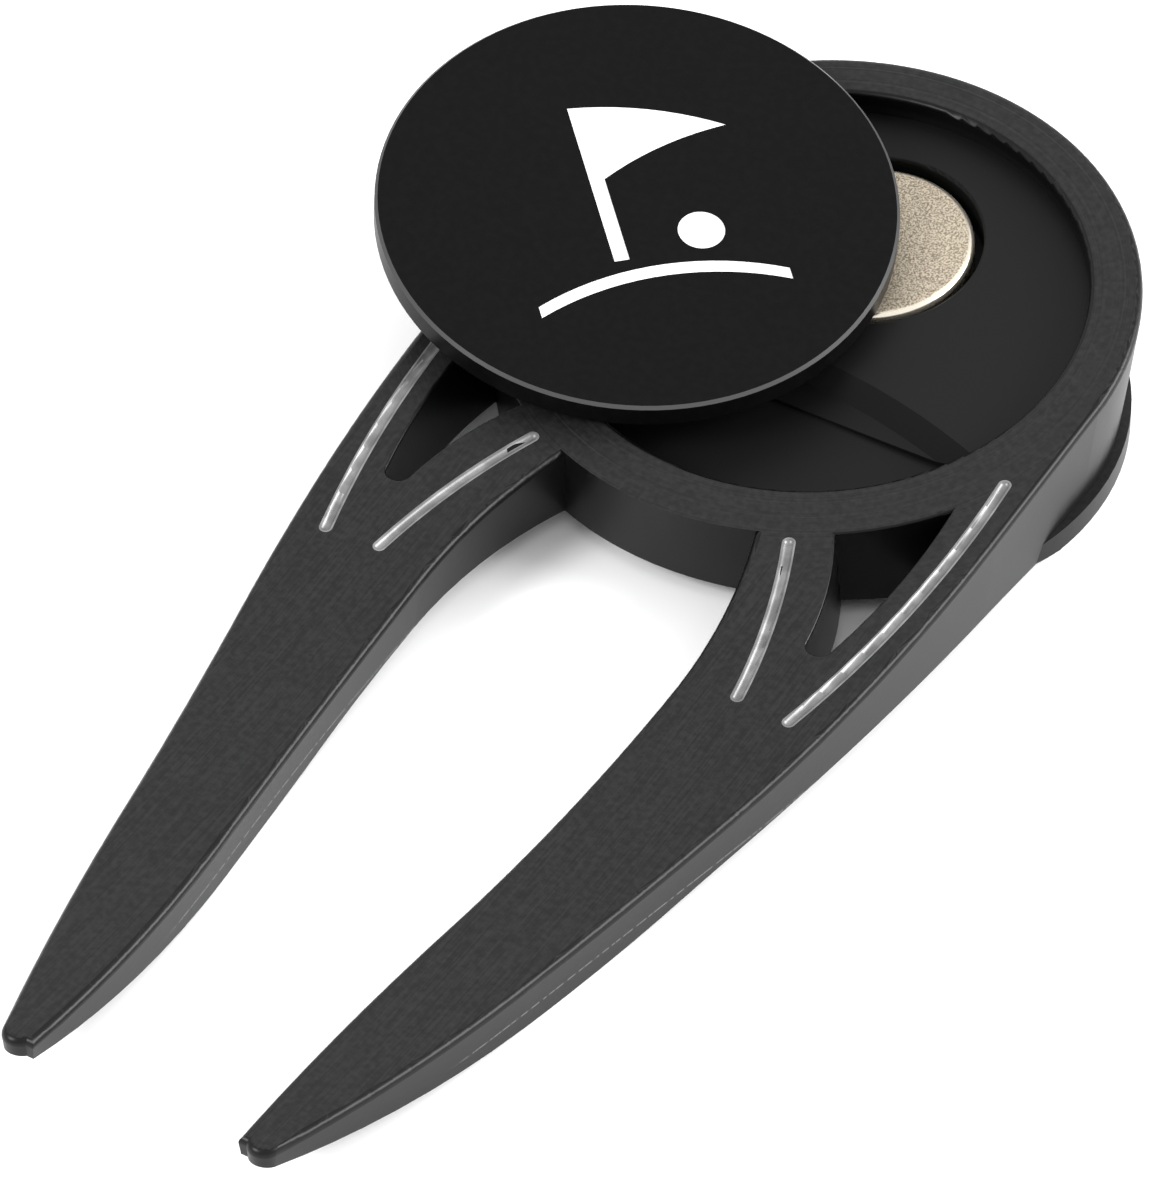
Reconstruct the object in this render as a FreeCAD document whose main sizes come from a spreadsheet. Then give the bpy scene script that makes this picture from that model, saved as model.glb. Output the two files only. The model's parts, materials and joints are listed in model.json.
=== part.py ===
import FreeCAD, Part
import math
import os
import Sketcher

doc = FreeCAD.newDocument("divot_tool")

# Driving sizes: millimetres and degrees.  "forward" is towards the prong tips (-Y), "rear" is +Y.
SIZES = {
    # head, its sloping top plane and the outline at the foot of the outer wall
    "head_radius": 15.0, "head_shift": 0.6, "head_height": 7.3, "head_tilt": 7.5,
    "wall_flare": 6.0, "blank_height": 12.0, "top_round": 0.35, "boss_radius": 15.9, "boss_foot": 15.15,
    "side_length": 10.0, "shoulder_side": 13.2, "shoulder_forward": 30.0,
    "taper_forward": 44.0, "taper_bow": 25.0, "nose_side": 6.95, "nose_forward": 58.9,
    "nose_radius": 0.5, "nose_width": 0.95,
    # gap between the prongs
    "gap_tip_side": 6.0, "gap_reach": 62.0, "gap_tip_bow": 150.0, "waist_side": 6.1,
    "waist_forward": 43.0, "waist_bow": 300.0, "bulge_side": 7.3, "bulge_forward": 25.0,
    "notch_side": 5.6, "notch_bow": 30.0,
    # window between the two arms of a prong
    "window_inner_side": 8.7, "window_outer_side": 12.8, "window_apex_inner": 10.95,
    "window_apex_outer": 12.15, "window_apex_forward": 19.8, "window_apex_radius": 0.65,
    "window_inner_bow": 17.0, "window_outer_bow": 35.0, "window_draft": -1.0, "window_depth": 6.5,
    "window_round": 0.15,
    # side view: top of the prongs and underside
    "crest_forward": 22.0, "crest_radius": 170.0, "arch_forward": 20.0, "arch_height": 1.2,
    "belly_forward": 41.0, "belly_radius": 66.0,
    # foot lip behind the head
    "lip_radius": 15.6, "lip_height": 1.2,
    # marker recess, thumb relief and magnet pocket
    "recess_radius": 13.0, "recess_depth": 1.3, "ledge_forward": 3.0, "ledge_bow": 33.6,
    "relief_drop": 0.9, "relief_run": 1.0, "strip_run": 1.7, "strip_drop": 0.2,
    "floor_forward": 5.45, "floor_drop": 0.12, "recess_round": 0.25, "pocket_round": 0.15,
    "pocket_radius": 5.45, "pocket_rear": 4.95, "pocket_depth": 2.0, "magnet_gap": 0.45,
    "magnet_sink": 0.15, "glue_thickness": 0.15, "magnet_round": 0.4,
    # painted troughs
    "trough_radius": 0.34, "trough_lift": 0.1, "paint_thickness": 0.08,
    "inner_trough_side": -25.79, "inner_trough_forward": 29.50, "inner_trough_bow": 36.0,
    "inner_trough_begin": 24.10, "inner_trough_sweep": 15.47,
    "outer_trough_side": -44.69, "outer_trough_forward": 10.52, "outer_trough_bow": 59.0,
    "outer_trough_begin": 3.52, "outer_trough_sweep": 17.02,
    # ball marker, lying lifted out across the left rim of the head
    "marker_radius": 12.7, "marker_thickness": 1.4, "marker_chamfer": 0.15,
    "marker_side": 9.45, "marker_forward": 0.98, "marker_rise": 2.15, "marker_lean": 7.5,
    "paint_depth": 0.12, "paint_sink": 0.03,
    # pennant, ball and green painted in the face of the marker
    "mark_turn": 45.0, "pole_side": 1.6, "pole_foot": 3.4, "pole_top": 6.4, "pole_width": 0.75,
    "pennant_foot": 1.7, "pennant_tip": 3.9, "pennant_reach": 5.4, "pennant_bow": 16.0,
    "ball_side": 2.6, "ball_foot": 2.3, "ball_radius": 1.15,
    "green_side": 6.2, "green_top": 4.0, "green_bow": 14.4, "green_width": 0.7,
}

sheet = doc.addObject("Spreadsheet::Sheet", "Sizes")
for row, (name, value) in enumerate(SIZES.items(), start=1):
    sheet.set(f"A{row}", name)
    sheet.set(f"B{row}", str(value))
    sheet.setAlias(f"B{row}", name)
doc.recompute()


def size(name):
    return float(sheet.get(name))


HEAD_FRAME = (
    "create(<<placement>>; create(<<vector>>; 0; 0; Sizes.head_height);"
    " create(<<rotation>>; create(<<vector>>; 1; 0; 0); Sizes.head_tilt))"
)


def new_body(name):
    return doc.addObject("PartDesign::Body", name)


def new_sketch(body, role, name, frame=None):
    sketch = body.newObject("Sketcher::SketchObject", name)
    plane = next(item for item in body.Origin.OriginFeatures if item.Role == role)
    sketch.AttachmentSupport = [(plane, "")]
    sketch.MapMode = "FlatFace"
    if frame:
        sketch.setExpression("AttachmentOffset", frame)
    return sketch


class Outline:
    """A closed loop of lines and arcs whose corners and radii follow the sheet."""

    def __init__(self, sketch, start):
        self.sketch = sketch
        self.point = FreeCAD.Vector(*start, 0)
        self.start = self.point
        self.first = None
        self.last = None

    def _add(self, curve, start_end, finish_end, target, joint):
        edge = self.sketch.addGeometry(curve)
        if self.last is None:
            self.first = (edge, start_end)
        else:
            self.sketch.addConstraint(Sketcher.Constraint(joint, *self.last, edge, start_end))
        self.last = (edge, finish_end)
        self.point = target
        return edge

    def line(self, x, y, joint="Coincident"):
        target = FreeCAD.Vector(x, y, 0)
        return self._add(Part.LineSegment(self.point, target), 1, 2, target, joint)

    def arc(self, x, y, radius, turn, joint="Coincident"):
        """turn is 1 when the arc runs anticlockwise and -1 when it runs clockwise;
        a joint of "Tangent" makes the corner that it starts from smooth."""
        target = FreeCAD.Vector(x, y, 0)
        along = target - self.point
        reach = math.sqrt(radius ** 2 - (along.Length / 2) ** 2)
        left = FreeCAD.Vector(-along.y, along.x, 0) / along.Length
        centre = (self.point + target) * 0.5 + left * reach * turn
        begin, finish = (self.point, target) if turn > 0 else (target, self.point)
        angles = [math.atan2(end.y - centre.y, end.x - centre.x) for end in (begin, finish)]
        circle = Part.Circle(centre, FreeCAD.Vector(0, 0, 1), radius)
        curve = Part.ArcOfCircle(circle, *angles)
        ends = (1, 2) if turn > 0 else (2, 1)
        return self._add(curve, *ends, target, joint)

    def close(self):
        if (self.point - self.start).Length > 1e-6:
            self.line(self.start.x, self.start.y)
        self.sketch.addConstraint(Sketcher.Constraint("Coincident", *self.last, *self.first))

    def pin(self, corner, across=None, along=None):
        """Ties a corner, given as (edge, end), to sheet expressions from the sketch origin."""
        point = self.sketch.getPoint(*corner)
        for kind, value, text in (("DistanceX", point.x, across), ("DistanceY", point.y, along)):
            if text is not None:
                index = self.sketch.addConstraint(
                    Sketcher.Constraint(kind, -1, 1, *corner, value))
                self.sketch.setExpression(f"Constraints[{index}]", text)

    def radius(self, edge, text):
        value = self.sketch.Geometry[edge].Radius
        index = self.sketch.addConstraint(Sketcher.Constraint("Radius", edge, value))
        self.sketch.setExpression(f"Constraints[{index}]", text)


def pad(body, sketch, length, name, taper=None):
    feature = body.newObject("PartDesign::Pad", name)
    feature.Profile = sketch
    feature.setExpression("Length", length)
    if taper is not None:
        feature.setExpression("TaperAngle", taper)
    return feature


def pocket(body, sketch, name, depth=None, taper=None, sideways=False, upward=False):
    feature = body.newObject("PartDesign::Pocket", name)
    feature.Profile = sketch
    if depth is None:
        feature.Type = "ThroughAll"
    else:
        feature.setExpression("Length", depth)
    if taper is not None:
        feature.setExpression("TaperAngle", taper)
    feature.Midplane = sideways
    feature.Reversed = upward
    return feature


def envelope(body):
    """Tapered block whose sides are the outer walls of the head and of both prongs."""
    radius, shift, side = size("head_radius"), size("head_shift"), size("shoulder_side")
    run, reach = size("shoulder_forward") - size("side_length"), size("taper_forward")
    bow = ((radius - side) ** 2 + run ** 2) / (2 * (radius - side))
    bow_text = ("((Sizes.head_radius - Sizes.shoulder_side)^2"
                " + (Sizes.shoulder_forward - Sizes.side_length)^2)"
                " / (2 * (Sizes.head_radius - Sizes.shoulder_side))")
    taper_side = side - (reach - size("shoulder_forward")) * math.tan(math.asin(run / bow))
    nose, nose_side, nose_y = size("nose_radius"), size("nose_side"), -size("nose_forward")
    nose_inner, taper_bow = nose_side - size("nose_width"), size("taper_bow")
    nose_inner_text = "(Sizes.nose_side - Sizes.nose_width)"
    sketch = new_sketch(body, "XY_Plane", "outer_outline")
    outline = Outline(sketch, (-radius, -shift))
    outline.arc(radius, -shift, radius, -1)
    outline.pin(outline.first, "-Sizes.head_radius", "-Sizes.head_shift")
    outline.pin(outline.last, "Sizes.head_radius", "-Sizes.head_shift")
    outline.line(radius, -size("side_length"))
    outline.pin(outline.last, "Sizes.head_radius", "-Sizes.side_length")
    shoulder = outline.arc(side, -size("shoulder_forward"), bow, -1)
    outline.radius(shoulder, bow_text)
    outline.pin(outline.last, "Sizes.shoulder_side", "-Sizes.shoulder_forward")
    outline.line(taper_side, -reach, "Tangent")
    outline.pin(outline.last, None, "-Sizes.taper_forward")
    outline.arc(nose_side, nose_y, taper_bow, -1, "Tangent")
    outline.pin(outline.last, "Sizes.nose_side", "-Sizes.nose_forward")
    outline.radius(outline.arc(nose_inner, nose_y, nose, -1), "Sizes.nose_radius")
    outline.pin(outline.last, nose_inner_text, "-Sizes.nose_forward")
    outline.line(-nose_inner, nose_y)
    outline.pin(outline.last, f"-{nose_inner_text}", "-Sizes.nose_forward")
    outline.radius(outline.arc(-nose_side, nose_y, nose, -1), "Sizes.nose_radius")
    outline.pin(outline.last, "-Sizes.nose_side", "-Sizes.nose_forward")
    outline.arc(-taper_side, -reach, taper_bow, -1)
    outline.pin(outline.last, None, "-Sizes.taper_forward")
    outline.line(-side, -size("shoulder_forward"), "Tangent")
    outline.pin(outline.last, "-Sizes.shoulder_side", "-Sizes.shoulder_forward")
    outline.radius(outline.arc(-radius, -size("side_length"), bow, -1, "Tangent"), bow_text)
    outline.pin(outline.last, "-Sizes.head_radius", "-Sizes.side_length")
    outline.close()
    return pad(body, sketch, "Sizes.blank_height", "outer_block", "Sizes.wall_flare")


def gap(body):
    """Opening between the prongs, back to the round boss."""
    boss, notch, foot = size("boss_foot"), size("notch_side"), size("gap_tip_side")
    reach, notch_y = -size("gap_reach"), -math.sqrt(boss ** 2 - notch ** 2)
    notch_text = "-sqrt(Sizes.boss_foot^2 - Sizes.notch_side^2)"
    waist, bulge = size("waist_side"), size("bulge_side")
    tip_bow, waist_bow = size("gap_tip_bow"), size("waist_bow")
    waist_y, bulge_y = -size("waist_forward"), -size("bulge_forward")
    sketch = new_sketch(body, "XY_Plane", "gap_outline")
    outline = Outline(sketch, (-foot, reach))
    outline.line(foot, reach)
    outline.pin(outline.first, "-Sizes.gap_tip_side", "-Sizes.gap_reach")
    outline.pin(outline.last, "Sizes.gap_tip_side", "-Sizes.gap_reach")
    outline.arc(waist, waist_y, tip_bow, -1)
    outline.pin(outline.last, "Sizes.waist_side", "-Sizes.waist_forward")
    outline.arc(bulge, bulge_y, waist_bow, 1, "Tangent")
    outline.pin(outline.last, "Sizes.bulge_side", "-Sizes.bulge_forward")
    outline.radius(outline.arc(notch, notch_y, size("notch_bow"), 1, "Tangent"),
                   "Sizes.notch_bow")
    outline.pin(outline.last, "Sizes.notch_side", notch_text)
    outline.radius(outline.arc(-notch, notch_y, boss, -1), "Sizes.boss_foot")
    outline.pin(outline.last, "-Sizes.notch_side", notch_text)
    outline.radius(outline.arc(-bulge, bulge_y, size("notch_bow"), 1), "Sizes.notch_bow")
    outline.pin(outline.last, "-Sizes.bulge_side", "-Sizes.bulge_forward")
    outline.arc(-waist, waist_y, waist_bow, 1, "Tangent")
    outline.pin(outline.last, "-Sizes.waist_side", "-Sizes.waist_forward")
    outline.arc(-foot, reach, tip_bow, -1, "Tangent")
    outline.close()
    return pocket(body, sketch, "gap_cut", "Sizes.blank_height", "-Sizes.wall_flare", upward=True)


def circle_sketch(body, name, radius, across="0", along="0", frame=None):
    sketch = new_sketch(body, "XY_Plane", name, frame)
    edge = sketch.addGeometry(Part.Circle(FreeCAD.Vector(0, 0, 0), FreeCAD.Vector(0, 0, 1), 1))
    outline = Outline(sketch, (0, 0))
    outline.radius(edge, radius)
    outline.pin((edge, 3), across, along)
    return sketch


def window(body):
    """Three-cornered openings between the boss and the two arms of each prong."""
    boss, inner, outer = size("boss_radius"), size("window_inner_side"), size("window_outer_side")
    apex_y = -size("window_apex_forward")
    inner_y, outer_y = -math.sqrt(boss ** 2 - inner ** 2), -math.sqrt(boss ** 2 - outer ** 2)
    corner = "-sqrt(Sizes.boss_radius^2 - Sizes.{}^2)"
    sketch = new_sketch(body, "XY_Plane", "window_outline", HEAD_FRAME)
    for hand in (1, -1):
        outline = Outline(sketch, (hand * inner, inner_y))
        bow = outline.arc(hand * size("window_apex_inner"), apex_y, size("window_inner_bow"), -hand)
        outline.radius(bow, "Sizes.window_inner_bow")
        outline.pin(outline.first, f"{hand} * Sizes.window_inner_side",
                    corner.format("window_inner_side"))
        outline.pin(outline.last, f"{hand} * Sizes.window_apex_inner",
                    "-Sizes.window_apex_forward")
        apex = outline.arc(hand * size("window_apex_outer"), apex_y,
                           size("window_apex_radius"), hand)
        outline.radius(apex, "Sizes.window_apex_radius")
        outline.pin(outline.last, f"{hand} * Sizes.window_apex_outer",
                    "-Sizes.window_apex_forward")
        bow = outline.arc(hand * outer, outer_y, size("window_outer_bow"), hand)
        outline.radius(bow, "Sizes.window_outer_bow")
        outline.pin(outline.last, f"{hand} * Sizes.window_outer_side",
                    corner.format("window_outer_side"))
        outline.radius(outline.arc(hand * inner, inner_y, boss, -hand), "Sizes.boss_radius")
        outline.close()
    return pocket(body, sketch, "window_cut", "Sizes.window_depth", "Sizes.window_draft")


def top_profile(body):
    """Cuts the sloping head plane and the prongs' hollow upper curve, seen from the side."""
    tilt, height = math.radians(size("head_tilt")), size("head_height")
    crest, bow, reach = size("crest_forward"), size("crest_radius"), size("gap_reach")
    rear = size("blank_height") + size("head_radius")
    crest_y, crest_z = -crest * math.cos(tilt), height - crest * math.sin(tilt)
    centre_y, centre_z = crest_y - bow * math.sin(tilt), crest_z + bow * math.cos(tilt)
    tip_z = centre_z - math.sqrt(bow ** 2 - (reach + centre_y) ** 2)
    sketch = new_sketch(body, "YZ_Plane", "top_outline")
    outline = Outline(sketch, (rear, height + rear * math.tan(tilt)))
    plane = outline.line(crest_y, crest_z)
    outline.pin((plane, 1), "Sizes.blank_height + Sizes.head_radius",
                "Sizes.head_height + (Sizes.blank_height + Sizes.head_radius)"
                " * tan(Sizes.head_tilt * 1deg)")
    outline.pin((plane, 2), "-Sizes.crest_forward * cos(Sizes.head_tilt * 1deg)",
                "Sizes.head_height - Sizes.crest_forward * sin(Sizes.head_tilt * 1deg)")
    hollow = outline.arc(-reach, tip_z, bow, -1, "Tangent")
    outline.radius(hollow, "Sizes.crest_radius")
    outline.pin((hollow, 1), "-Sizes.gap_reach", None)
    front = outline.line(-reach, height + rear)
    outline.pin((front, 2), "-Sizes.gap_reach",
                "Sizes.head_height + Sizes.blank_height + Sizes.head_radius")
    top = outline.line(rear, height + rear)
    outline.pin((top, 2), "Sizes.blank_height + Sizes.head_radius",
                "Sizes.head_height + Sizes.blank_height + Sizes.head_radius")
    outline.close()
    return pocket(body, sketch, "top_cut", sideways=True)


def top_edges(shape):
    """Names of the edges round the outside of the upper surface."""
    upper = []
    for face in shape.Faces:
        sloping = (isinstance(face.Surface, Part.Plane)
                   and abs(face.Surface.Axis.z - math.cos(math.radians(size("head_tilt")))) < 1e-6)
        hollow = (isinstance(face.Surface, Part.Cylinder)
                  and abs(face.Surface.Radius - size("crest_radius")) < 1e-6)
        if sloping or hollow:
            upper += face.Edges
    return [f"Edge{index}" for index, edge in enumerate(shape.Edges, start=1)
            if sum(edge.isSame(other) for other in upper) == 1]


def head_point(along, above):
    """A point on the middle plane of the tool, measured from the sloping head plane."""
    tilt = math.radians(size("head_tilt"))
    return FreeCAD.Vector(0, along * math.cos(tilt) - above * math.sin(tilt),
                          along * math.sin(tilt) + above * math.cos(tilt) + size("head_height"))


def circle_edges(shape, radius, *centres):
    """Names of the round edges with one of the given centres."""
    return [f"Edge{index}" for index, edge in enumerate(shape.Edges, start=1)
            if isinstance(edge.Curve, Part.Circle) and abs(edge.Curve.Radius - radius) < 1e-6
            and any((edge.Curve.Center - centre).Length < 1e-6 for centre in centres)]


def round_edges(body, feature, edges, radius, name):
    rounding = body.newObject("PartDesign::Fillet", name)
    rounding.Base = (feature, edges)
    rounding.setExpression("Radius", radius)
    body.Tip = rounding
    return rounding


def underside(body):
    """Cuts the low arch behind the prongs and the belly that they stand on."""
    rise, belly = size("arch_height"), size("belly_radius")
    arch_y, belly_y, reach = -size("arch_forward"), -size("belly_forward"), size("gap_reach")
    span = ((belly_y - arch_y) ** 2 + rise ** 2) / (2 * rise)
    arch = span - belly
    share = arch / span
    meet = (arch_y + (belly_y - arch_y) * share, rise - arch + (belly - rise + arch) * share)
    heel_y = arch_y + math.sqrt(arch ** 2 - (arch - rise) ** 2)
    tip_z = belly - math.sqrt(belly ** 2 - (reach + belly_y) ** 2)
    arch_text = ("((Sizes.belly_forward - Sizes.arch_forward)^2 + Sizes.arch_height^2)"
                 " / (2 * Sizes.arch_height) - Sizes.belly_radius")
    sketch = new_sketch(body, "YZ_Plane", "underside_outline")
    outline = Outline(sketch, (heel_y, 0))
    hollow = outline.arc(*meet, arch, 1)
    outline.radius(hollow, arch_text)
    outline.pin((hollow, 3), "-Sizes.arch_forward", f"Sizes.arch_height - ({arch_text})")
    outline.pin((hollow, 1), None, "0")
    bulge = outline.arc(-reach, tip_z, belly, -1, "Tangent")
    outline.radius(bulge, "Sizes.belly_radius")
    outline.pin((bulge, 3), "-Sizes.belly_forward", None)
    outline.pin((bulge, 1), "-Sizes.gap_reach", None)
    front = outline.line(-reach, -1)
    outline.pin((front, 2), "-Sizes.gap_reach", "-1")
    below = outline.line(heel_y, -1)
    outline.pin((below, 2), None, "-1")
    outline.close()
    sketch.addConstraint(Sketcher.Constraint("Vertical", below, 2, hollow, 1))
    return pocket(body, sketch, "underside_cut", sideways=True)


def tool_blank():
    body = new_body("tool_blank")
    envelope(body)
    pad(body, circle_sketch(body, "lip_outline", "Sizes.lip_radius", along="-Sizes.head_shift"),
        "Sizes.lip_height", "foot_lip")
    gap(body)
    upper = top_profile(body)
    doc.recompute()
    round_edges(body, upper, top_edges(upper.Shape), "Sizes.top_round", "top_rounding")
    underside(body)
    openings = window(body)
    doc.recompute()
    round_edges(body, openings, window_edges(openings.Shape), "Sizes.window_round", "window_rim")
    bowl = pocket(body, circle_sketch(body, "recess_outline", "Sizes.recess_radius", frame=HEAD_FRAME),
                  "recess", "Sizes.recess_depth")
    doc.recompute()
    round_edges(body, bowl, circle_edges(bowl.Shape, size("recess_radius"), head_point(0, 0)),
                "Sizes.recess_round", "recess_rim")
    well = pocket(body, circle_sketch(body, "pocket_outline", "Sizes.pocket_radius",
                                      along="Sizes.pocket_rear", frame=HEAD_FRAME),
                  "magnet_pocket", "Sizes.recess_depth + Sizes.pocket_depth")
    doc.recompute()
    mouth = head_point(size("pocket_rear"), -size("recess_depth"))
    round_edges(body, well, circle_edges(well.Shape, size("pocket_radius"), mouth),
                "Sizes.pocket_round", "pocket_rim")
    doc.recompute()
    return body


def on_head(across, along, above, axis="0; 0; 1", angle="0"):
    """Placement expression measured from the sloping head plane."""
    return (f"{HEAD_FRAME} * create(<<placement>>; create(<<vector>>; {across}; {along}; {above});"
            f" create(<<rotation>>; create(<<vector>>; {axis}); {angle}))")


def solid(kind, name, placement, **sizes):
    item = doc.addObject(f"Part::{kind}", name)
    for key, text in sizes.items():
        item.setExpression(key, text)
    item.setExpression("Placement", placement)
    return item


def combine(kind, name, items):
    item = doc.addObject(f"Part::{kind}", name)
    item.Shapes = items
    return item


def cut(name, base, tool):
    item = doc.addObject("Part::Cut", name)
    item.Base = base
    item.Tool = tool
    return item


def window_edges(shape):
    """Names of the upper edges of the windows, the only arcs in the head plane so far."""
    normal = head_point(0, 1) - head_point(0, 0)
    return [f"Edge{index}" for index, edge in enumerate(shape.Edges, start=1)
            if isinstance(edge.Curve, Part.Circle)
            and abs((edge.CenterOfMass - head_point(0, 0)).dot(normal)) < 1e-6]


def thumb_relief():
    """Sunken front of the recess: a steep ledge, a gentle slope and the lowest floor."""
    drops = ["Sizes.recess_depth"]
    drops.append(f"{drops[-1]} + Sizes.relief_drop")
    drops.append(f"{drops[-1]} + Sizes.strip_drop")
    drops.append(f"{drops[-1]} + Sizes.floor_drop")
    radii = ["Sizes.ledge_bow"]
    radii.append(f"{radii[-1]} - Sizes.relief_run")
    radii.append(f"{radii[-1]} - Sizes.strip_run")
    axis_along = "-(Sizes.ledge_forward + Sizes.ledge_bow)"
    steps = []
    for index, name in enumerate(("ledge_slope", "strip_slope")):
        steps.append(solid("Cone", name, on_head("0", axis_along, f"-({drops[index + 1]})"),
                           Radius1=radii[index + 1], Radius2=radii[index],
                           Height=f"{drops[index + 1]} - ({drops[index]})"))
    steps.append(solid("Box", "front_floor",
                       on_head("-Sizes.recess_radius", "-Sizes.floor_forward - Sizes.recess_radius",
                               f"-({drops[-1]})"),
                       Length="2 * Sizes.recess_radius", Width="Sizes.recess_radius",
                       Height=f"{drops[-1]} - Sizes.recess_depth"))
    bowl = solid("Cylinder", "recess_bowl", on_head("0", "0", f"-({drops[-1]})"),
                 Radius="Sizes.recess_radius", Height=drops[-1])
    return combine("MultiCommon", "thumb_relief", [bowl, combine("MultiFuse", "relief_steps", steps)])


def trough(hand, which, radius, name):
    """Round-ended tube along a painted groove, its middle just above the head plane."""
    side, forward = f"{hand} * Sizes.{which}_trough_side", f"-Sizes.{which}_trough_forward"
    bow, begin = f"Sizes.{which}_trough_bow", f"Sizes.{which}_trough_begin"
    sweep = f"Sizes.{which}_trough_sweep"
    finish = f"({begin} - {sweep})"
    turn = finish if hand > 0 else f"180 - {begin}"
    pieces = [solid("Torus", f"{name}_run", on_head(side, forward, "Sizes.trough_lift", angle=turn),
                    Radius1=bow, Radius2=radius, Angle3=sweep)]
    for end, angle in (("top", begin), ("end", finish)):
        across = f"{hand} * (Sizes.{which}_trough_side + {bow} * cos({angle} * 1deg))"
        along = f"{forward} + {bow} * sin({angle} * 1deg)"
        pieces.append(solid("Sphere", f"{name}_{end}",
                            on_head(across, along, "Sizes.trough_lift"), Radius=radius))
    return combine("MultiFuse", name, pieces)


def groove_paints(blank):
    """Paint films that line the four grooves, and the grooves themselves."""
    films, grooves = [], []
    for hand, hand_name in ((-1, "left"), (1, "right")):
        for which in ("inner", "outer"):
            name = f"{hand_name}_{which}"
            groove = trough(hand, which, "Sizes.trough_radius", f"groove_{name}")
            hollow = trough(hand, which, "Sizes.trough_radius - Sizes.paint_thickness",
                            f"hollow_{name}")
            skin = combine("MultiCommon", f"skin_{name}", [blank, groove])
            films.append(cut(f"groove_paint_{name}", skin, hollow))
            grooves.append(groove)
    return films, grooves


def magnet():
    body = new_body("magnet")
    height = "Sizes.pocket_depth - Sizes.glue_thickness - Sizes.magnet_sink"
    slug = pad(body, circle_sketch(body, "magnet_outline", "Sizes.pocket_radius - Sizes.magnet_gap"),
               height, "slug")
    doc.recompute()
    face = FreeCAD.Vector(0, 0, slug.Shape.BoundBox.ZMax)
    radius = size("pocket_radius") - size("magnet_gap")
    round_edges(body, slug, circle_edges(slug.Shape, radius, face), "Sizes.magnet_round", "magnet_rim")
    depth = "Sizes.recess_depth + Sizes.pocket_depth - Sizes.glue_thickness"
    body.setExpression("Placement", on_head("0", "Sizes.pocket_rear", f"-({depth})"))
    return body


def adhesive():
    return solid("Cylinder", "magnet_adhesive",
                 on_head("0", "Sizes.pocket_rear", "-(Sizes.recess_depth + Sizes.pocket_depth)"),
                 Radius="Sizes.pocket_radius - Sizes.magnet_gap", Height="Sizes.glue_thickness")


MARKER_FRAME = on_head("-Sizes.marker_side", "-Sizes.marker_forward", "Sizes.marker_rise",
                       "0; 1; 0", "Sizes.marker_lean")


def mark_frame(above):
    return (f"create(<<placement>>; create(<<vector>>; 0; 0; {above});"
            " create(<<rotation>>; create(<<vector>>; 0; 0; 1); Sizes.mark_turn))")


def flag_sketch(body, above):
    """Pole with a pennant that curves in the wind."""
    half, side = size("pole_width") / 2, size("pole_side")
    foot, top, bow = -size("pole_foot"), size("pole_top"), size("pennant_bow")
    near, far = "-Sizes.pole_side + Sizes.pole_width / 2", "-Sizes.pole_side - Sizes.pole_width / 2"
    sketch = new_sketch(body, "XY_Plane", f"{body.Name}_flag", mark_frame(above))
    outline = Outline(sketch, (-side - half, foot))
    outline.line(half - side, foot)
    outline.pin(outline.first, far, "-Sizes.pole_foot")
    outline.pin(outline.last, near, "-Sizes.pole_foot")
    outline.line(half - side, size("pennant_foot"))
    outline.pin(outline.last, near, "Sizes.pennant_foot")
    outline.radius(outline.arc(size("pennant_reach"), size("pennant_tip"), bow, -1),
                   "Sizes.pennant_bow")
    outline.pin(outline.last, "Sizes.pennant_reach", "Sizes.pennant_tip")
    outline.radius(outline.arc(-side - half, top, bow, 1), "Sizes.pennant_bow")
    outline.pin(outline.last, far, "Sizes.pole_top")
    outline.close()
    return sketch


def ball_sketch(body, above):
    return circle_sketch(body, f"{body.Name}_ball", "Sizes.ball_radius", "Sizes.ball_side",
                         "-Sizes.ball_foot", mark_frame(above))


def green_sketch(body, above):
    """Curved strip that stands for the ground."""
    half, bow, width = size("green_side"), size("green_bow"), size("green_width")
    end = -size("green_top") - bow + math.sqrt(bow ** 2 - half ** 2)
    end_text = "-Sizes.green_top - Sizes.green_bow + sqrt(Sizes.green_bow^2 - Sizes.green_side^2)"
    sketch = new_sketch(body, "XY_Plane", f"{body.Name}_green", mark_frame(above))
    outline = Outline(sketch, (half, end))
    outline.radius(outline.arc(-half, end, bow, 1), "Sizes.green_bow")
    outline.pin(outline.first, "Sizes.green_side", end_text)
    outline.pin(outline.last, "-Sizes.green_side", end_text)
    outline.line(-half, end - width)
    outline.pin(outline.last, "-Sizes.green_side", f"{end_text} - Sizes.green_width")
    outline.radius(outline.arc(half, end - width, bow, -1), "Sizes.green_bow")
    outline.pin(outline.last, "Sizes.green_side", f"{end_text} - Sizes.green_width")
    outline.close()
    return sketch


MARK_SHAPES = {"flag": flag_sketch, "ball": ball_sketch, "green": green_sketch}


def marker_disc():
    body = new_body("marker_disc")
    coin = pad(body, circle_sketch(body, "coin_outline", "Sizes.marker_radius"),
               "Sizes.marker_thickness", "coin")
    coin.Reversed = True
    doc.recompute()
    under = FreeCAD.Vector(0, 0, -size("marker_thickness"))
    edges = circle_edges(coin.Shape, size("marker_radius"), FreeCAD.Vector(0, 0, 0), under)
    rim = body.newObject("PartDesign::Chamfer", "coin_rim")
    rim.Base = (coin, edges)
    rim.setExpression("Size", "Sizes.marker_chamfer")
    for name, draw in MARK_SHAPES.items():
        pocket(body, draw(body, "0"), f"{name}_deboss", "Sizes.paint_depth")
    body.setExpression("Placement", MARKER_FRAME)
    return body


def marker_paint(name):
    body = new_body(f"marker_paint_{name}")
    pad(body, MARK_SHAPES[name](body, "-Sizes.paint_depth"), "Sizes.paint_depth - Sizes.paint_sink",
        f"{name}_fill")
    body.setExpression("Placement", MARKER_FRAME)
    return body


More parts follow.
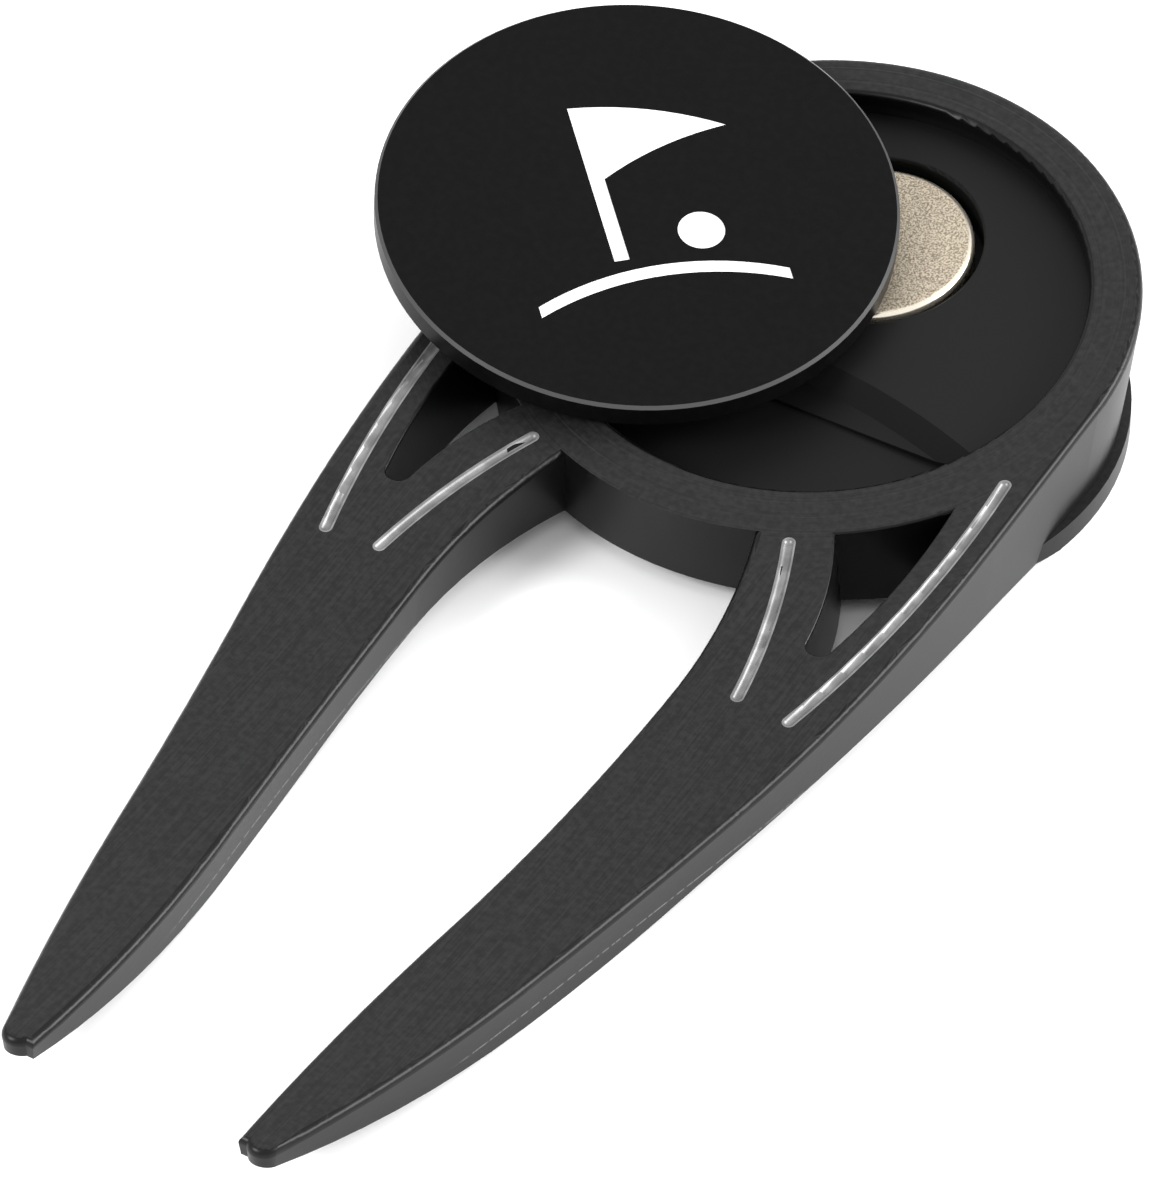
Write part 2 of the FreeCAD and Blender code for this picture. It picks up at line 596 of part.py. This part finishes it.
blank = tool_blank()
relieved = cut("relieved_blank", blank, thumb_relief())
films, grooves = groove_paints(blank)
tool_body = cut("tool_body", relieved, combine("MultiFuse", "grooves", grooves))
pieces = [tool_body, *films, magnet(), adhesive(), marker_disc()]
pieces += [marker_paint(name) for name in MARK_SHAPES]
doc.recompute()
for item in doc.Objects:
    if set(item.State) & {"Invalid", "Error"}:
        raise RuntimeError(f"{item.Name} failed: {item.State}")
for piece in pieces:
    if piece.Shape.isNull() or not piece.Shape.isValid():
        raise RuntimeError(f"{piece.Label} has no valid shape")
os.makedirs("parts", exist_ok=True)
for piece in pieces:
    piece.Shape.exportStep(f"parts/{piece.Label}.step")
    print(piece.Label, len(piece.Shape.Solids), round(piece.Shape.Volume, 3))
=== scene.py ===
import bpy
import json
import math
from mathutils import Euler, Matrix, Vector

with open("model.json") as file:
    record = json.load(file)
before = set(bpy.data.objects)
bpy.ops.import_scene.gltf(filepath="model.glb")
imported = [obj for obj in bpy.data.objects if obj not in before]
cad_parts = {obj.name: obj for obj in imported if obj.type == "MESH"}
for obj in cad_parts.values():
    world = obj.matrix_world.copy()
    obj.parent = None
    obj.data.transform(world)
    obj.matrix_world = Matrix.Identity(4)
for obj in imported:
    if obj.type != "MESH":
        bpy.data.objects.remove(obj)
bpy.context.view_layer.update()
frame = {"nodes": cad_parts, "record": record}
nodes = frame["nodes"]
mounts = {mount["name"]: mount for mount in frame["record"]["mounts"]}
recess = mounts["marker_recess"]
recessRadius, recessDepth = (recess["dims"][key] / 1000 for key in ("r_mm", "length_mm"))
headNormal = Vector(recess["axis"]).normalized()
headPoint = Vector(recess["pos_m"]) + headNormal * recessDepth
magnetPoint = Vector(mounts["magnet_face"]["pos_m"])
print("stage: frame loaded, head plane at", tuple(round(v, 5) for v in headPoint))

# camera

cameraSettings = {
    "place": (0.15938, -0.28288, 0.28444),
    "azimuth": 31.384,      # degrees to the right of straight ahead
    "elevation": 42.503,
    "roll": 0.38,
    "lens": 268.3,
}


def makeCamera(s):
    camera = bpy.data.objects.new("camera", bpy.data.cameras.new("camera"))
    bpy.context.scene.collection.objects.link(camera)
    camera.data.lens = s["lens"]
    camera.data.clip_start, camera.data.clip_end = 0.01, 10
    turn = Euler((math.radians(90 - s["elevation"]), 0, math.radians(s["azimuth"])))
    spin = Euler((0, 0, math.radians(s["roll"])))
    camera.matrix_world = turn.to_matrix().to_4x4() @ spin.to_matrix().to_4x4()
    camera.location = s["place"]
    bpy.context.scene.camera = camera
    bpy.context.scene.view_settings.view_transform = "Standard"


makeCamera(cameraSettings)

# studio: pale floor, soft sky and large soft lights

studio = {
    "floorSize": 3.0,
    "floorColor": (0.96, 0.96, 0.96),
    "floorRough": 0.95,
    "floorSpecular": 0.1,
    "skyColor": (1.0, 1.0, 1.0),
    "skyStrength": 1.1,
    # name: place, aim, size, watts
    "lights": {
        "rearRight": ((0.40, 0.38, 0.22), (0.0, -0.01, 0.0), (0.22, 0.22), 2.4),
        "right": ((0.48, 0.17, 0.31), (0.0, -0.02, 0.0), (0.20, 0.26), 2.8),
        "frontLeft": ((-0.24, -0.42, 0.39), (0.0, -0.01, 0.0), (0.20, 0.20), 2.4),
    },
}


def makeStudio(s):
    half = s["floorSize"] / 2
    mesh = bpy.data.meshes.new("floor")
    mesh.from_pydata([(-half, -half, 0), (half, -half, 0), (half, half, 0), (-half, half, 0)], [],
                     [(0, 1, 2, 3)])
    floor = bpy.data.objects.new("floor", mesh)
    bpy.context.scene.collection.objects.link(floor)
    paper = bpy.data.materials.new("paleFloor")
    paper.use_nodes = True
    shader = paper.node_tree.nodes["Principled BSDF"]
    shader.inputs["Base Color"].default_value = (*s["floorColor"], 1)
    shader.inputs["Roughness"].default_value = s["floorRough"]
    shader.inputs["Specular IOR Level"].default_value = s["floorSpecular"]
    mesh.materials.append(paper)
    world = bpy.data.worlds.new("softSky")
    world.use_nodes = True
    sky = world.node_tree.nodes["Background"]
    sky.inputs["Color"].default_value = (*s["skyColor"], 1)
    sky.inputs["Strength"].default_value = s["skyStrength"]
    bpy.context.scene.world = world
    for name, (place, aim, (wide, tall), watts) in s["lights"].items():
        light = bpy.data.lights.new(name, "AREA")
        light.shape, light.size, light.size_y, light.energy = "RECTANGLE", wide, tall, watts
        lamp = bpy.data.objects.new(name, light)
        lamp.location = place
        lamp.rotation_euler = (Vector(aim) - Vector(place)).to_track_quat("-Z", "Y").to_euler()
        bpy.context.scene.collection.objects.link(lamp)


makeStudio(studio)
print("stage: camera and studio")

# shader building


class Wire:    # a value in a material's nodes that takes part in ordinary arithmetic
    def __init__(self, paint, socket):
        self.paint, self.socket = paint, socket

    def math(self, operation, *others):
        return self.paint.node("ShaderNodeMath", {"operation": operation},
                               dict(enumerate((self, *others))))

    def swapped(self, operation, other):
        return self.paint.node("ShaderNodeMath", {"operation": operation}, {0: other, 1: self})

    def __add__(self, other): return self.math("ADD", other)
    def __radd__(self, other): return self.math("ADD", other)
    def __sub__(self, other): return self.math("SUBTRACT", other)
    def __rsub__(self, other): return self.swapped("SUBTRACT", other)
    def __mul__(self, other): return self.math("MULTIPLY", other)
    def __rmul__(self, other): return self.math("MULTIPLY", other)
    def __abs__(self): return self.math("ABSOLUTE")


class Paint:    # a material under construction
    def __init__(self, name):
        self.material = bpy.data.materials.new(name)
        self.material.use_nodes = True
        self.tree = self.material.node_tree
        self.shader = self.tree.nodes["Principled BSDF"]

    def node(self, kind, settings, values, output=0):
        item = self.tree.nodes.new(kind)
        for key, value in settings.items():
            setattr(item, key, value)
        for key, value in values.items():
            self.put(item.inputs[key], value)
        return Wire(self, item.outputs[output])

    def put(self, socket, value):
        if isinstance(value, Wire):
            self.tree.links.new(value.socket, socket)
        else:
            socket.default_value = value

    def set(self, **values):
        for key, value in values.items():
            self.put(self.shader.inputs[key.replace("_", " ")], value)

    def place(self):
        return self.node("ShaderNodeTexCoord", {}, {}, "Object")

    def facing(self):    # the way each flat of the surface faces
        return self.node("ShaderNodeNewGeometry", {}, {}, "True Normal")

    def dot(self, vector, direction):
        return self.node("ShaderNodeVectorMath", {"operation": "DOT_PRODUCT"},
                         {0: vector, 1: tuple(direction)}, "Value")

    def length(self, vector):
        return self.node("ShaderNodeVectorMath", {"operation": "LENGTH"}, {0: vector}, "Value")

    def away(self, vector, point):
        return self.node("ShaderNodeVectorMath", {"operation": "SUBTRACT"},
                         {0: vector, 1: tuple(point)})

    def band(self, value, start, full, fade, end):    # 1 between full and fade, 0 outside
        return self.step(value, start, full) * (1 - self.step(value, fade, end))

    def parts(self, vector):
        split = self.node("ShaderNodeSeparateXYZ", {}, {0: vector}).socket.node
        return [Wire(self, output) for output in split.outputs]

    def join(self, x, y=0.0, z=0.0):
        return self.node("ShaderNodeCombineXYZ", {}, {0: x, 1: y, 2: z})

    def noise(self, vector, scale, detail=2.0):
        return self.node("ShaderNodeTexNoise", {},
                         {"Vector": vector, "Scale": scale, "Detail": detail})

    def step(self, value, start, end):    # rises smoothly from 0 at start to 1 at end
        return self.node("ShaderNodeMapRange", {"interpolation_type": "SMOOTHSTEP"},
                         {"Value": value, "From Min": start, "From Max": end})

    def mix(self, mask, first, second):
        return self.node("ShaderNodeMix", {"data_type": "RGBA"}, {0: mask, 6: first, 7: second}, 2)

    def bump(self, height, strength, distance):
        return self.node("ShaderNodeBump", {}, {"Height": height, "Strength": strength,
                                                "Distance": distance})


def grey(level, tint=(1.0, 1.0, 1.0)):
    return (*(level * part for part in tint), 1)


# the casting: black plating, brushed on top

casting = {
    "topColor": grey(0.007, (1.0, 1.0, 1.02)),
    "topLight": grey(0.016, (1.0, 1.0, 1.02)),
    "wallColor": grey(0.0015),
    # lighter wall colour near the table: painted reflection of the pale floor
    "wallFloorReflection": grey(0.006),
    "recessColor": grey(0.003),
    "topRough": 0.42,
    "wallRough": 0.34,
    "recessRough": 0.5,
    "specular": 0.2,
    # how closely a flat has to face the way the head does to be brushed
    "brushedFacing": (0.968, 0.975),
    "brushPitch": 9000.0,
    "brushRun": 240.0,
    "brushShade": (0.34, 0.68),
    "brushBump": 0.22,
    "bumpDepth": 0.00004,
    "grainScale": 3200.0,
    "grainShare": 0.35,
    # along the tool, where the straight brushing of the prongs turns round the ring
    "ringStart": (-0.0175, -0.0145),
    "ringCircles": (0.01385, 0.01475),
    "circleWidth": (0.00009, 0.00003),
    "circleDepth": 1.5,
    # below the head plane, and inside and outside the wall of the recess
    "recessSunk": (0.0006, 0.001),
    "recessEdge": (0.0005, 0.0003),
    "rimEdge": (0.0002, 0.00026),
    "ledgeSlope": (0.5, 0.65, 0.82, 0.92),
    "ledgeRough": 0.35,
    # heights over which the walls are painted lighter towards the table, a painted reflection of
    # the pale floor
    "wallFoot": (-0.0055, -0.0005),
    # painted highlight: a dashed light line along the parting ridge low on the prongs
    "partingHeight": 0.00115,
    "partingWidth": (0.00007, 0.00003),
    "partingEnds": (-0.049, -0.047, -0.026, -0.023),
    "partingDash": 2600,
    "partingGaps": (0.42, 0.52),
    "partingHighlight": grey(0.10),
}


def makeCasting(s):
    paint = Paint("castBlack")
    place, facing = paint.place(), paint.dot(paint.facing(), headNormal)
    across, along, up = paint.parts(place)
    fromHead = paint.away(place, headPoint)
    above, radius = paint.dot(fromHead, headNormal), paint.length(fromHead)

    def thinLine(distance, width):
        return paint.step(abs(distance) * -1, *(-edge for edge in width))

    sunk = paint.step(above * -1, *s["recessSunk"])
    inRecess = sunk * paint.step(radius * -1, *(-recessRadius - edge for edge in s["recessEdge"]))
    pastRim = paint.step(radius, *(recessRadius + edge for edge in s["rimEdge"]))
    top = paint.step(facing, *s["brushedFacing"]) * (1 - inRecess) * pastRim
    wall = (1 - top) * (1 - inRecess)
    ledge = inRecess * paint.band(facing, *s["ledgeSlope"])

    # brushing, straight on the prongs and turned on the ring
    strokes = paint.noise(paint.join(across * s["brushPitch"], along * s["brushRun"]), 1.0)
    turned = paint.noise(paint.join(radius * s["brushPitch"]), 1.0)
    ring = paint.step(along, *s["ringStart"])
    brushed = strokes * (1 - ring) + turned * ring
    grain = paint.noise(place, s["grainScale"])
    shade = paint.step(brushed * 0.5 + grain * 0.5, *s["brushShade"])
    topColor = paint.mix(shade, s["topColor"], s["topLight"])

    # painted floor reflection: the walls turn lighter towards the table
    floorReflection = paint.step(paint.dot(place, (0, 0, -1)), *s["wallFoot"])
    # painted highlight along the parting ridge: a dashed light line low on the walls
    dashes = paint.step(paint.noise(paint.join(along * s["partingDash"]), 1.0), *s["partingGaps"])
    paintedPartingHighlight = (thinLine(up - s["partingHeight"], s["partingWidth"])
               * paint.band(along, *s["partingEnds"]) * dashes * (1 - top))
    wallColor = paint.mix(floorReflection, s["wallColor"], s["wallFloorReflection"])
    wallColor = paint.mix(paintedPartingHighlight, wallColor, s["partingHighlight"])
    circles = sum(thinLine(radius - circle, s["circleWidth"]) for circle in s["ringCircles"])

    height = brushed * top + grain * s["grainShare"] - circles * top * s["circleDepth"]
    paint.set(Base_Color=paint.mix(top, paint.mix(inRecess, wallColor, s["recessColor"]), topColor),
              Roughness=(ledge * s["ledgeRough"] + top * s["topRough"]
                         + inRecess * s["recessRough"] + wall * s["wallRough"]),
              Specular_IOR_Level=s["specular"],
              Normal=paint.bump(height, s["brushBump"], s["bumpDepth"]))
    return paint.material


# silver enamel in the grooves

enamel = {
    "dark": grey(0.17),
    "light": grey(0.27),
    "rough": 0.42,
    "metallic": 0.6,
    "patchScale": 900.0,
}
patchEdges = (0.35, 0.7)    # where the patches of an uneven finish fade into each other


def makeEnamel(s):
    paint = Paint("grooveSilver")
    patchy = paint.step(paint.noise(paint.place(), s["patchScale"]), *patchEdges)
    paint.set(Base_Color=paint.mix(patchy, s["dark"], s["light"]), Roughness=s["rough"],
              Metallic=s["metallic"])
    return paint.material


# magnet: sand-blasted face and a smooth bright rim

plating = {
    "face": grey(0.66, (1.0, 0.88, 0.70)),
    "pit": grey(0.26, (1.0, 0.84, 0.62)),
    "rim": grey(0.85, (1.0, 0.92, 0.78)),
    "faceRough": 0.55,
    "rimRough": 0.2,
    "metallic": 0.9,
    "speckScale": 11000.0,
    "speckDetail": 3.0,
    "speckEdges": (0.36, 0.62),
    "speckBump": 0.5,
    "speckDepth": 0.00006,
    "faceRadius": (0.00466, 0.00478),
}


def makePlating(s):
    paint = Paint("magnetPlating")
    place = paint.place()
    radius = paint.length(paint.away(place, magnetPoint))
    face = 1 - paint.step(radius, *s["faceRadius"])
    speck = paint.noise(place, s["speckScale"], s["speckDetail"])
    pits = paint.step(speck, *s["speckEdges"])
    color = paint.mix(face, s["rim"], paint.mix(pits, s["pit"], s["face"]))
    rough = face * (s["faceRough"] - s["rimRough"]) + s["rimRough"]
    paint.set(Base_Color=color, Roughness=rough, Metallic=s["metallic"],
              Normal=paint.bump(speck * face, s["speckBump"], s["speckDepth"]))
    return paint.material


# plain finishes with a little unevenness

plainFinishes = {
    # name: dark, light, roughness, metallic, specular, noise scale
    "adhesive": (grey(0.03), grey(0.05), 0.5, 0.0, 0.3, 900.0),
    "markerBlack": (grey(0.0028), grey(0.0036), 0.32, 0.0, 0.07, 2500.0),
    "markerWhite": (grey(0.78), grey(0.86), 0.4, 0.0, 0.4, 1200.0),
}
markerBevelHighlight = {"color": grey(0.06), "slope": (0.3, 0.5, 0.9, 0.95)}    # painted highlight on the bevel round the marker


def makePlain(name, dark, light, rough, metallic, specular, scale, bevelHighlight=None):
    paint = Paint(name)
    uneven = paint.step(paint.noise(paint.place(), scale), *patchEdges)
    color = paint.mix(uneven, dark, light)
    # painted highlight: a lighter band on the sloping bevel round the marker
    if bevelHighlight:
        lean = paint.dot(paint.facing(), headNormal)
        color = paint.mix(paint.band(lean, *bevelHighlight["slope"]), color, bevelHighlight["color"])
    paint.set(Base_Color=color, Roughness=rough, Metallic=metallic, Specular_IOR_Level=specular)
    return paint.material


finishes = {
    "cast_black": makeCasting(casting),
    "groove_silver": makeEnamel(enamel),
    "magnet_plating": makePlating(plating),
    "adhesive": makePlain("adhesive", *plainFinishes["adhesive"]),
    "marker_black": makePlain("markerBlack", *plainFinishes["markerBlack"], bevelHighlight=markerBevelHighlight),
    "marker_white": makePlain("markerWhite", *plainFinishes["markerWhite"]),
}
for part in frame["record"]["subparts"]:
    mesh = nodes[part["node"]].data
    mesh.materials.clear()
    mesh.materials.append(finishes[part["material_slot"]])
print("stage: finishes on", len(nodes), "pieces")
